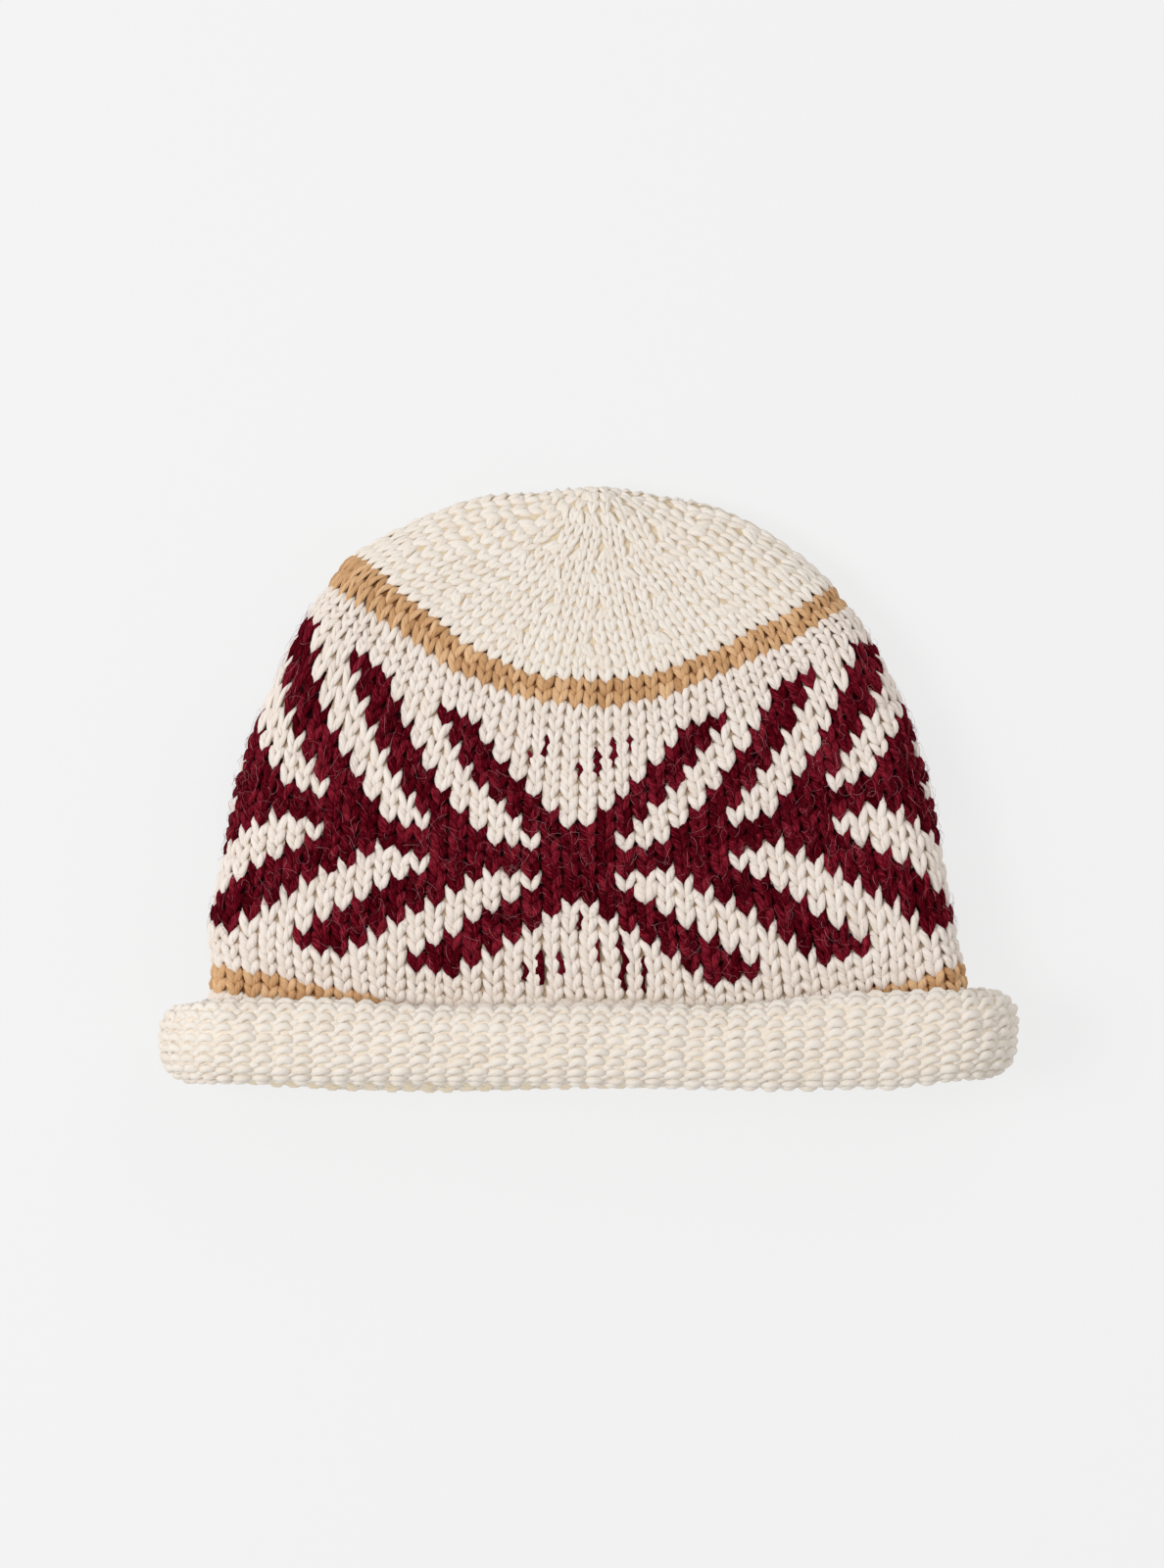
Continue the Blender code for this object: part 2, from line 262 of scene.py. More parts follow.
# Waves round the cap, turns for each row, and phase of the slow wobbles of the stitches
WOBBLES = [
    (int(rng.integers(2, WAVE_LIMIT)), rng.uniform(-WAVE_SLANT, WAVE_SLANT), rng.uniform(0, WAVE_PHASE))
    for _ in range(WOBBLE_COUNT)
]


# Surfaces

def table_curve(table, columns, name, at):
    """The named column of a table at places along its first one, on a smooth curve through its lines."""
    data = np.array(table)
    places, values = data[:, 0], data[:, columns.index(name)]
    last = len(places) - 1
    at = np.clip(at, places[0], places[-1])
    low = np.clip(np.searchsorted(places, at, side="right") - 1, 0, last - 1)
    before, after = np.maximum(np.arange(last + 1) - 1, 0), np.minimum(np.arange(last + 1) + 1, last)
    slopes = (values[after] - values[before]) / (places[after] - places[before])
    span = places[low + 1] - places[low]
    t = (at - places[low]) / span
    rise = values[low + 1] - values[low]
    return (
        values[low]
        + rise * t * t * (3 - 2 * t)
        + span * slopes[low] * t * (1 - t) ** 2
        - span * slopes[low + 1] * t * t * (1 - t)
    )


def table_line(table, columns, name, at):
    data = np.array(table)
    return np.interp(at, data[:, 0], data[:, columns.index(name)])


def row_value(name, row):
    return table_curve(ROWS, ROW_COLUMNS, name, row)


def layer_heights(y):
    """Height of the back layer, half the distance between the layers, and the front's swelling, at y."""
    along = (y - BRIM_Y) / INNER_LENGTH
    lift = table_line(HEIGHTS, HEIGHT_COLUMNS, "lift", along) * MOUTH_LIFT
    swell = table_curve(HEIGHTS, HEIGHT_COLUMNS, "swell", along)
    dome = table_curve(HEIGHTS, HEIGHT_COLUMNS, "dome", along) * DOME_HEIGHT
    half = (MOUTH_THICKNESS + swell * (BODY_THICKNESS - MOUTH_THICKNESS)) / 2
    return HALF_WALL + lift, half, dome


def place_round(wale):
    """Side, share of the way to that side's fold, and whether on the front, of places counted in stitches
    round the cap from the front's middle line."""
    wale = np.mod(wale, STITCHES)
    right = wale <= 2 * QUARTER
    half = np.where(right, wale, STITCHES - wale)
    front = half <= QUARTER
    share = np.where(front, half, 2 * QUARTER - half) / QUARTER
    return np.where(right, 1.0, -1.0), share, front


def surface(wale, row):
    """Points on the fabric's middle surface, and the directions out of the cap across its length."""
    side, share, front = place_round(wale)
    spread = row_value("spread", row)
    share = (1 - spread) * share + spread * np.sin(share * math.pi / 2)
    right = side > 0
    reach = np.where(right, row_value("right_reach", row), row_value("left_reach", row))
    middle = row_value("middle", row)
    width = np.maximum((reach - side * middle) * HALF_BODY, 1e-6)
    side_along = np.where(right, row_value("right_along", row), row_value("left_along", row))
    radius = np.minimum(layer_heights(BRIM_Y + side_along * INNER_LENGTH)[1], width)
    flat = width - radius
    beyond = share * (flat + radius * math.pi / 2) - flat
    angle = np.maximum(beyond, 0) / radius
    across = flat + np.minimum(beyond, 0) + radius * np.sin(angle)
    reached = np.minimum(across / width, 1.0)
    arch = row_value("arch", row)
    bow = (1 - arch) * np.cos(reached * math.pi / 2) + arch * np.sqrt(1 - reached * reached)
    y = BRIM_Y + (side_along + (row_value("along", row) - side_along) * bow) * INNER_LENGTH
    back, half, dome = layer_heights(y)
    short = np.maximum(1 - np.maximum(BRIM_Y + INNER_LENGTH - y, 0) / half, 0)
    rise = half * np.cos(angle) * np.sqrt(1 - short * short)
    swell = dome * np.cos(reached * math.pi / 2) ** 2
    z = back + half + np.where(front, rise + swell, -rise)
    x = middle * HALF_BODY + side * across
    points = np.stack([x, y, z], -1)
    out = np.stack([side * np.sin(angle), np.zeros_like(x), np.where(front, 1, -1) * np.cos(angle)], -1)
    return points, out


def body_at(wale, row):
    return surface(wale, row)[0]


def strayed(wale, row):
    """Where a place in the knitting lies in the even layout of the surface."""
    side, share, front = place_round(wale)
    at_side = np.where(front, side * share, side)
    fade = np.where(front, 1.0, share) * np.clip((STRAY_END_ROW - row) / STRAY_FADE_ROWS, 0, 1)
    across, along = (
        sum(table_curve(STRAY, STRAY_COLUMNS, f"{name}_{i}", row) * at_side ** i for i in range(POWERS))
        for name in ("round", "along")
    )
    for waves, rate, phase in WOBBLES:
        angle = 2 * math.pi * (waves * wale / STITCHES + rate * row) + phase
        across = across + WOBBLE * np.sin(angle)
        along = along + WOBBLE * np.cos(angle + 2 * phase)
    return wale + across * fade, row + along * fade


def parted(wale, row):
    """Stitches drawn apart where a float shows between them."""
    across = np.zeros_like(wale)
    for place, middle, rows, width in SHOWING_FLOATS:
        beside = np.mod(wale - place + STITCHES / 2, STITCHES) - STITCHES / 2
        reach = np.exp(-((row - middle) / (PARTING_REACH * rows)) ** 2 - np.abs(beside) * PARTING_FADE)
        across = across + np.sign(beside) * PARTING * width * reach
    return wale + across


def stitch_at(wale, row):
    """A place in the knitting on the middle surface, in stitches round the cap and rows along it."""
    wale, row = np.broadcast_arrays(np.asarray(wale, float), np.asarray(row, float))
    return body_at(*strayed(parted(wale, row), row))


def roll_at(wale, length):
    """Points on the rolled fabric's middle surface. Length is measured along the fabric from where its turn
    at the mouth begins: less than nothing on the inner wall, more on the roll."""
    wale, length = np.broadcast_arrays(np.asarray(wale, float), np.asarray(length, float))
    base, out = surface(wale, np.full(wale.shape, float(LOWER_STRIPE_ROW)))
    across = base[..., 0] / HALF_BODY
    front = place_round(wale)[2]
    top = table_line(EDGES, EDGE_COLUMNS, "top", across)
    bottom = np.where(
        front,
        table_line(EDGES, EDGE_COLUMNS, "front_bottom", across),
        table_line(EDGES, EDGE_COLUMNS, "back_bottom", across),
    )
    upper = BRIM_Y + ROLL_HEIGHT * (1 + top) - HALF_WALL
    lower = BRIM_Y + ROLL_HEIGHT * bottom + HALF_WALL
    height = upper - lower
    turn = ROLL_BULGE / 2
    inner = WALL + LAYER_GAP
    crest = (ROLL_BULGE - inner) / 2
    arc_end = math.pi * turn
    wall_length = height - turn - crest
    wall_end = arc_end + wall_length
    crest_end = wall_end + math.pi * crest
    down = height - turn + np.minimum(length, 0)
    away = np.zeros_like(down)
    in_turn = (length > 0) & (length <= arc_end)
    angle = length / turn
    down = np.where(in_turn, height - turn + turn * np.sin(angle), down)
    away = np.where(in_turn, turn - turn * np.cos(angle), away)
    in_wall = (length > arc_end) & (length <= wall_end)
    part = (length - arc_end) / wall_length
    down = np.where(in_wall, height - turn - (length - arc_end), down)
    away = np.where(in_wall, ROLL_BULGE * (1 + ROLL_BOW * np.sin(np.clip(part, 0, 1) * math.pi)), away)
    in_crest = (length > wall_end) & (length <= crest_end)
    angle = (length - wall_end) / crest
    down = np.where(in_crest, crest - crest * np.sin(angle), down)
    away = np.where(in_crest, inner + crest + crest * np.cos(angle), away)
    in_core = length > crest_end
    down = np.where(in_core, crest + (length - crest_end), down)
    away = np.where(in_core, inner, away)
    points = base + out * away[..., None]
    points[..., 1] = upper - down
    points[..., 2] = np.maximum(points[..., 2], HALF_WALL)
    return points


def outward(at, wale, along, step_wale, step_along):
    """Unit normals of a surface, on the side to which across and along turn."""
    across_way = at(wale + step_wale, along) - at(wale - step_wale, along)
    along_way = at(wale, along + step_along) - at(wale, along - step_along)
    normal = np.cross(across_way, along_way)
    return normal / (np.linalg.norm(normal, axis=-1, keepdims=True) + 1e-12)


# Wales

def sector_room(row):
    """How many stitches have room in a sector of the crown at a row, and the first and last that are left."""
    count = np.interp(row, COUNT_ROWS, COUNTS)
    lost = SECTOR - np.maximum(np.floor(count + ROUNDING), 1).astype(int)
    first = lost // 2
    return count, first, SECTOR - 1 - (lost - first)


def wale_centre(stitch, row):
    """Where a stitch of the full count stands round the cap at a row, and the room it has there. A stitch
    that has been lost stands with its neighbour."""
    ring = np.mod(stitch - SECTOR_START, STITCHES)
    sector, place = ring // SECTOR, ring % SECTOR
    count, first, last = sector_room(row)
    kept = np.clip(place, first, last)
    room = SECTOR / count
    centre = SECTOR * sector + room * (kept + 0.5 - (SECTOR - count) * FIRST_SHARE)
    drawn = row >= DRAWN_ROW
    centre = np.where(drawn, 2 * SECTOR * (sector // 2) + SECTOR, centre)
    return SECTOR_START + centre, np.where(drawn, 2 * SECTOR, room)


def stitches_between(first_row, end_row):
    """Stitch number and row of every stitch in a band of rows."""
    stitch, row = (grid.ravel() for grid in np.meshgrid(np.arange(STITCHES), np.arange(first_row, end_row)))
    ring = np.mod(stitch - SECTOR_START, STITCHES)
    _, first, last = sector_room(row)
    place = ring % SECTOR
    left = (place >= first) & (place <= last)
    left &= (row < DRAWN_ROW) | (ring // SECTOR % 2 == 0)
    return np.stack([stitch[left], row[left]], -1)


def is_red(stitch, row):
    """The chart: bars that climb away from the front's middle line, mirrored about the middle row."""
    height = np.where(row >= MOTIF_MIDDLE_ROW, row - MOTIF_MIDDLE_ROW + 1, MOTIF_MIDDLE_ROW - row)
    half = np.where(stitch < 2 * QUARTER, stitch, STITCHES - 1 - stitch)
    column = np.where(half < QUARTER, half, 2 * QUARTER - 1 - half) + 1
    inside = (row >= MOTIF_ROW) & (row < MOTIF_END_ROW)
    in_bar = (height - column) % BAR_REPEAT < BAR_ROWS
    return inside & (height < column + BAR_ROWS) & ((height == 1) | in_bar)


# Yarn as tubes

def tubes(centres, outs, radii, sides, squash=1.0, ply=PLY_DEPTH, turns=PLY_TURNS):
    """Points, quads, caps and yarn coordinates of many tubes at once. Centres and outs are tubes by points
    by 3, radii tubes by points."""
    count, rings = centres.shape[:2]
    tangent = np.gradient(centres, axis=1)
    tangent /= np.linalg.norm(tangent, axis=-1, keepdims=True) + 1e-12
    beside = np.cross(tangent, outs)
    beside /= np.linalg.norm(beside, axis=-1, keepdims=True) + 1e-12
    up = np.cross(beside, tangent)
    angle = np.linspace(0, 2 * math.pi, sides, endpoint=False)[None, None, :]
    along = np.linspace(0, 1, rings)[None, :, None]
    start = rng.uniform(0, 2 * math.pi, count)[:, None, None]
    twist = angle - 2 * math.pi * turns * along - start
    radius = radii[:, :, None] * (1 + ply * np.cos(2 * twist))
    points = (
        centres[:, :, None, :]
        + beside[:, :, None, :] * (radius * np.cos(angle))[..., None]
        + up[:, :, None, :] * (radius * squash * np.sin(angle))[..., None]
    )
    points[..., 2] = np.maximum(points[..., 2], TABLE_GAP)
    yarn = np.stack([np.cos(twist), np.sin(twist), np.broadcast_to(along * rings, twist.shape)], -1)
    index = np.arange(count * rings * sides).reshape(count, rings, sides)
    after = np.roll(index, -1, axis=2)
    quads = np.stack([index[:, :-1], index[:, 1:], after[:, 1:], after[:, :-1]], -1).reshape(-1, 4)
    caps = np.concatenate([index[:, 0], index[:, -1, ::-1]])
    return points.reshape(-1, 3), quads, caps, yarn.reshape(-1, 3)


def joined(name, points, faces, values):
    """A smooth object from an array of points, arrays of faces and named point values."""
    mesh = bpy.data.meshes.new(name)
    corners = np.concatenate([f.reshape(-1) for f in faces]).astype(np.int32)
    totals = np.concatenate([np.full(len(f), f.shape[1], np.int32) for f in faces])
    starts = np.concatenate([[0], np.cumsum(totals)[:-1]]).astype(np.int32)
    mesh.vertices.add(len(points))
    mesh.vertices.foreach_set("co", points.astype(np.float32).reshape(-1))
    mesh.loops.add(len(corners))
    mesh.loops.foreach_set("vertex_index", corners)
    mesh.polygons.add(len(totals))
    mesh.polygons.foreach_set("loop_start", starts)
    mesh.polygons.foreach_set("loop_total", totals)
    mesh.update(calc_edges=True)
    for key, value in values.items():
        single = value.ndim == 1
        attribute = mesh.attributes.new(key, "FLOAT" if single else "FLOAT_VECTOR", "POINT")
        flat = value.astype(np.float32).reshape(-1)
        attribute.data.foreach_set("value" if single else "vector", flat)
    mesh.shade_smooth()
    obj = bpy.data.objects.new(name, mesh)
    bpy.context.scene.collection.objects.link(obj)
    return obj


def yarn_object(name, parts, material, slot):
    """One object from several sets of tubes, each tube with a tint of its own."""
    points, quads, caps, yarn, tint = [], [], {}, [], []
    offset = 0
    for tube_points, tube_quads, tube_caps, tube_yarn, count in parts:
        per = len(tube_points) // count
        points.append(tube_points)
        quads.append(tube_quads + offset)
        caps.setdefault(tube_caps.shape[1], []).append(tube_caps + offset)
        yarn.append(tube_yarn)
        tint.append(np.repeat(rng.uniform(0, 1, count), per))
        offset += len(tube_points)
    mesh_caps = [np.concatenate(found) for found in caps.values()]
    values = {"yarn": np.concatenate(yarn), "tint": np.concatenate(tint)}
    obj = joined(name, np.concatenate(points), [np.concatenate(quads), *mesh_caps], values)
    return dress(obj, slot, material)


def dress(obj, slot, *materials):
    for material in materials:
        obj.data.materials.append(material)
    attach(obj, "root")
    return obj


# Stitches

# Columns of the tables below: across in stitches, up in rows, out and thick in widths of yarn
ACROSS, UP, OUT, THICK = range(4)
# One leg of a plain stitch, from the stitch below to behind the stitch above
LEG = (
    (0.03, -0.06, -0.64, 0.40),
    (0.06, 0.22, -0.12, 0.66),
    (0.12, 0.51, 0.12, 0.90),
    (0.20, 0.82, 0.20, 1.06),
    (0.29, 1.12, 0.14, 1.04),
    (0.35, 1.39, -0.16, 0.80),
    (0.37, 1.60, -0.70, 0.48),
)


def knit_legs(stitch_rows, sides, fullness, keep=slice(None), loosen=LOOSENESS):
    """The two legs of each plain stitch, as tubes on the outside of the cap."""
    stitch, row = stitch_rows[:, 0], stitch_rows[:, 1]
    centre, room = wale_centre(stitch, row)
    above, room_above = wale_centre(stitch, row + 1)
    leg = np.array(LEG)[keep]
    slack = (stitch == SLACK_STITCH[0]) & (row == SLACK_STITCH[1])
    splay = 1 + SPLAY * (is_red(stitch, row + 1) & ~is_red(stitch, row)) + SPLAY * slack
    parts = []
    for hand in (-1.0, 1.0):
        up = leg[None, :, UP] * splay[:, None] ** 0.5 + rng.normal(0, loosen, len(row))[:, None]
        blend = np.clip(up - HANDOVER, 0, HANDOVER_END)
        middle = centre[:, None] * (1 - blend) + above[:, None] * blend
        wide = room[:, None] * (1 - blend) + room_above[:, None] * blend
        lean = rng.normal(0, loosen * 0.6, len(row))[:, None]
        wale = middle + wide * (hand * leg[None, :, ACROSS] * splay[:, None] + lean * 0.5)
        at_row = np.minimum(row[:, None] + up, TIP_ROW - TIP_GAP)
        points = stitch_at(wale, at_row)
        normal = outward(body_at, *strayed(wale, at_row), STITCH_STEP, STITCH_STEP)
        half_stitch = stitch_at(wale + 0.25, at_row) - stitch_at(wale - 0.25, at_row)
        room_beside = np.linalg.norm(half_stitch, axis=-1)
        thick = np.clip(room_beside * 2 * wide * fullness, THINNEST_YARN, YARN)
        fat = 1 + rng.normal(0, loosen, len(row))[:, None] + SLACK * slack[:, None]
        radius = thick * leg[None, :, THICK] / 2 * fat
        proud = rng.normal(0, loosen * 0.8, len(row))[:, None]
        height = HALF_WALL - thick * YARN_SINK + thick * (leg[None, :, OUT] + proud)
        centres = points + normal * height[..., None]
        tube = tubes(centres, normal, radius, sides, squash=LEG_SQUASH)
        parts.append((*tube, len(row)))
    return parts


# The top of a loop on the purl side, and the link between two of them
BEAN = (
    (-0.46, -0.50, -0.56, 0.66),
    (-0.34, -0.14, -0.04, 0.90),
    (-0.12, 0.12, 0.20, 1.06),
    (0.12, 0.14, 0.20, 1.06),
    (0.34, -0.10, -0.04, 0.90),
    (0.46, -0.44, -0.56, 0.66),
)
LINK = (
    (-0.30, -0.14, -0.50, 0.66),
    (-0.13, -0.04, 0.04, 0.94),
    (0.13, 0.10, 0.04, 0.94),
    (0.30, 0.26, -0.50, 0.66),
)


def roll_columns_at(column, length):
    """The roll's surface in columns of its own, even where it is widest."""
    wales = np.linspace(0, STITCHES, ROLL_SAMPLES * STITCHES + 1)
    outside = roll_at(wales, np.full(wales.shape, math.pi * ROLL_BULGE / 2 + ROLL_ROW_HEIGHT))
    steps = np.linalg.norm(np.diff(outside, axis=0), axis=-1)
    reached = np.concatenate([[0], np.cumsum(steps)]) / steps.sum() * ROLL_STITCHES
    return roll_at(np.interp(np.mod(column, ROLL_STITCHES), reached, wales), length)


def purl_bumps(at, wales, alongs, row_height, shape, thick, sides, sink=0.0, slant=0.0, loosen=LOOSENESS):
    """The bumps of the fabric's purl side, as tubes across the wales of any surface."""
    form = np.array(shape)
    count = len(wales)
    shift = rng.normal(0, loosen, (count, 2))
    wale = wales[:, None] + form[None, :, ACROSS] + shift[:, :1]
    rows = form[None, :, UP] + slant * form[None, :, ACROSS] + shift[:, 1:]
    along = alongs[:, None] + rows * row_height
    points = at(wale, along)
    normal = outward(at, wale, along, STITCH_STEP, row_height / 4)
    fat = 1 + rng.normal(0, loosen, count)[:, None]
    proud = rng.normal(0, loosen, count)[:, None]
    height = HALF_WALL - thick * (YARN_SINK + sink) + thick * (form[None, :, OUT] + proud)
    centres = points + normal * height[..., None]
    tube = tubes(
        centres, normal, thick * form[None, :, THICK] / 2 * fat, sides, squash=BEAN_SQUASH,
        ply=BEAN_PLY_DEPTH, turns=BEAN_PLY_TURNS)
    return (*tube, count)


# Materials

def new_material(name):
    material = bpy.data.materials.new(name)
    material.use_nodes = True
    nodes, links = material.node_tree.nodes, material.node_tree.links
    return material, nodes, links, nodes["Principled BSDF"]


def wool(name, colours, shade, fibre=0.35, sheen=0.3, streak=0.5, shine=0.12, relief=0.5):
    """Spun wool: a mix of colours from leg to leg and along the fibres, with fibres as bumps. Colours are a
    dark, a middle and a light one; shade is how far each stitch's own tint moves between them."""
    material, nodes, links, shader = new_material(name)
    yarn = nodes.new("ShaderNodeAttribute")
    yarn.attribute_name = "yarn"
    tint = nodes.new("ShaderNodeAttribute")
    tint.attribute_name = "tint"
    place = nodes.new("ShaderNodeCombineXYZ")
    links.new(tint.outputs["Fac"], place.inputs["X"])
    spread = nodes.new("ShaderNodeVectorMath")
    spread.operation = "MULTIPLY_ADD"
    links.new(place.outputs[0], spread.inputs[0])
    spread.inputs[1].default_value = (90.0, 0.0, 0.0)
    stretched = nodes.new("ShaderNodeVectorMath")
    stretched.operation = "MULTIPLY"
    links.new(yarn.outputs["Vector"], stretched.inputs[0])
    stretched.inputs[1].default_value = (1.6, 1.6, 0.35)
    links.new(stretched.outputs[0], spread.inputs[2])
    streaks = nodes.new("ShaderNodeTexNoise")
    streaks.inputs["Scale"].default_value = 2.2
    streaks.inputs["Detail"].default_value = 4.0
    streaks.inputs["Roughness"].default_value = 0.65
    links.new(spread.outputs[0], streaks.inputs["Vector"])
    mixed = nodes.new("ShaderNodeMath")
    mixed.operation = "MULTIPLY_ADD"
    links.new(tint.outputs["Fac"], mixed.inputs[0])
    mixed.inputs[1].default_value = shade
    scaled = nodes.new("ShaderNodeMath")
    scaled.operation = "MULTIPLY_ADD"
    links.new(streaks.outputs["Fac"], scaled.inputs[0])
    scaled.inputs[1].default_value = streak
    scaled.inputs[2].default_value = 0.5 - shade / 2 - streak / 2
    links.new(scaled.outputs[0], mixed.inputs[2])
    ramp = nodes.new("ShaderNodeValToRGB")
    ramp.color_ramp.elements[0].position = 0.15
    ramp.color_ramp.elements[0].color = (*colours[0], 1)
    ramp.color_ramp.elements[1].position = 0.85
    ramp.color_ramp.elements[1].color = (*colours[2], 1)
    middle = ramp.color_ramp.elements.new(0.5)
    middle.color = (*colours[1], 1)
    links.new(mixed.outputs[0], ramp.inputs[0])
    links.new(ramp.outputs[0], shader.inputs["Base Color"])
    parts = nodes.new("ShaderNodeSeparateXYZ")
    links.new(yarn.outputs["Vector"], parts.inputs[0])
    plies = nodes.new("ShaderNodeMath")
    plies.operation = "ABSOLUTE"
    links.new(parts.outputs["X"], plies.inputs[0])
    groove = nodes.new("ShaderNodeMapRange")
    groove.interpolation_type = "SMOOTHSTEP"
    groove.inputs["From Max"].default_value = 0.55
    groove.inputs["To Max"].default_value = 1.0
    links.new(plies.outputs[0], groove.inputs["Value"])
    height = nodes.new("ShaderNodeMath")
    height.operation = "MULTIPLY_ADD"
    links.new(streaks.outputs["Fac"], height.inputs[0])
    height.inputs[1].default_value = fibre * 2
    links.new(groove.outputs[0], height.inputs[2])
    bump = nodes.new("ShaderNodeBump")
    bump.inputs["Strength"].default_value = relief
    bump.inputs["Distance"].default_value = 0.0005
    links.new(height.outputs[0], bump.inputs["Height"])
    links.new(bump.outputs[0], shader.inputs["Normal"])
    shader.inputs["Roughness"].default_value = 0.9
    shader.inputs["Specular IOR Level"].default_value = shine
    shader.inputs["Sheen Weight"].default_value = sheen
    shader.inputs["Sheen Roughness"].default_value = 0.55
    return material


def backing_wool(name, dark, light):
    """Yarn deep between the stitches, in the dark and light colours given; where these are darker than the
    stitches' yarn, they are painted shade.
    """
    material, nodes, links, shader = new_material(name)
    place = nodes.new("ShaderNodeTexCoord")
    noise = nodes.new("ShaderNodeTexNoise")
    noise.inputs["Scale"].default_value = 700.0
    noise.inputs["Detail"].default_value = 3.0
    links.new(place.outputs["Object"], noise.inputs["Vector"])
    ramp = nodes.new("ShaderNodeValToRGB")
    ramp.color_ramp.elements[0].position = 0.3
    ramp.color_ramp.elements[0].color = (*dark, 1)
    ramp.color_ramp.elements[1].position = 0.7
    ramp.color_ramp.elements[1].color = (*light, 1)
    links.new(noise.outputs["Fac"], ramp.inputs[0])
    links.new(ramp.outputs[0], shader.inputs["Base Color"])
    bump = nodes.new("ShaderNodeBump")
    bump.inputs["Strength"].default_value = 0.6
    bump.inputs["Distance"].default_value = 0.0006
    links.new(noise.outputs["Fac"], bump.inputs["Height"])
    links.new(bump.outputs[0], shader.inputs["Normal"])
    shader.inputs["Roughness"].default_value = 0.95
    shader.inputs["Specular IOR Level"].default_value = 0.1
    return material


def floor_material():
    material, nodes, links, shader = new_material("pale_floor")
    noise = nodes.new("ShaderNodeTexNoise")
    noise.inputs["Scale"].default_value = 4.0
    ramp = nodes.new("ShaderNodeValToRGB")
    for element, grey in zip(ramp.color_ramp.elements, FLOOR_GREYS):
        element.color = (grey, grey, grey, 1)
    links.new(noise.outputs["Fac"], ramp.inputs[0])
    links.new(ramp.outputs[0], shader.inputs["Base Color"])
    shader.inputs["Roughness"].default_value = 0.9
    shader.inputs["Specular IOR Level"].default_value = 0.0
    shader.inputs["Emission Color"].default_value = (1.0, 1.0, 1.0, 1.0)
    shader.inputs["Emission Strength"].default_value = FLOOR_GLOW
    return material


def linear(*levels):
    """Colour levels of a screen, 0 to 255, as light."""
    shares = [level / 255 for level in levels]
    return tuple(s / 12.92 if s <= 0.04045 else ((s + 0.055) / 1.055) ** 2.4 for s in shares)


CREAM_COLOURS = (linear(222, 206, 191), linear(235, 224, 214), linear(243, 234, 227))
# The crown's copy of the cream yarn: lighter, yellower darks and slightly darker lights than the cream's,
# painted light that evens out the shade between the crown's crowded legs.
CROWN_COLOURS = (linear(224, 208, 189), linear(233, 224, 213), linear(241, 234, 227))
# The roll's copy of the cream yarn: darker lights than the cream's, painted shade that damps the highlights
# on the roll's bumps; its bump relief is lower too.
ROLL_COLOURS = (linear(222, 208, 191), linear(232, 223, 212), linear(237, 230, 223))
# The back layer's roll where it shows under the front's: a yellower copy of the roll's cream, painted shade.
ROLL_EDGE_SHADE_COLOURS = (linear(222, 204, 176), linear(235, 221, 197), linear(243, 233, 215))
TAN_COLOURS = (linear(156, 108, 62), linear(208, 164, 118), linear(236, 200, 160))
RED_COLOURS = (linear(34, 0, 3), linear(82, 3, 17), linear(160, 44, 60))
FIBRE_COLOURS = (linear(110, 26, 42), linear(160, 66, 80), linear(216, 150, 156))


def build_materials():
    return {
        "cream": wool("cream_yarn", CREAM_COLOURS, shade=0.2, fibre=0.3, sheen=0.12, streak=0.6),
        "crown": wool(
            "crown_yarn", CROWN_COLOURS, shade=0.2, fibre=0.3, sheen=0.12, streak=0.6, relief=0.3),
        "roll": wool(
            "roll_yarn", ROLL_COLOURS, shade=0.2, fibre=0.3, sheen=0.12, streak=0.5, relief=0.15),
        "edge": wool(
            "shaded_roll_yarn", ROLL_EDGE_SHADE_COLOURS, shade=0.2, fibre=0.3, sheen=0.12, streak=0.5, relief=0.15),
        "tan": wool("tan_yarn", TAN_COLOURS, shade=0.3, fibre=0.3, sheen=0.10, streak=0.8),
        "red": wool("dark_red_yarn", RED_COLOURS, shade=0.25, fibre=0.9, sheen=0.0, streak=1.6, shine=0.02),
        "red_fibre": wool("dark_red_fibre", FIBRE_COLOURS, shade=1.0, fibre=0.0, sheen=0.0, streak=0.2),
        # Backings: the cream's, the crown's and the tan's are darker and browner than their yarns, painted
        # shade between the stitches; the dark red's is the red yarn's own colour, darkened as painted shade.
        "cream_deep_shade": backing_wool("cream_backing_painted_shade", linear(168, 144, 118), linear(210, 190, 164)),
        "crown_deep_shade": backing_wool("crown_backing_painted_shade", linear(208, 188, 158), linear(226, 210, 184)),
        "roll_deep": backing_wool("roll_backing", linear(228, 214, 195), linear(238, 227, 212)),
        "tan_deep_shade": backing_wool("tan_backing_painted_shade", linear(122, 78, 42), linear(170, 118, 70)),
        "red_deep_shade": backing_wool("dark_red_backing_painted_shade", linear(20, 0, 4), linear(44, 2, 12)),
    }


# Pieces

# Sides of the tubes, and the points along a leg that are kept at the back
FRONT_SIDES = 8
BACK_SIDES = 6
BUMP_SIDES = 7
LINK_SIDES = 5
FIBRE_SIDES = 3
BACK_KEEP = [0, 1, 3, 5, 6]


def split_layers(stitch_rows):
    """The stitches seen from the front, and the rest."""
    stitch = stitch_rows[:, 0]
    half = np.where(stitch < 2 * QUARTER, stitch, STITCHES - 1 - stitch)
    front = half < QUARTER + 3
    return stitch_rows[front], stitch_rows[~front]


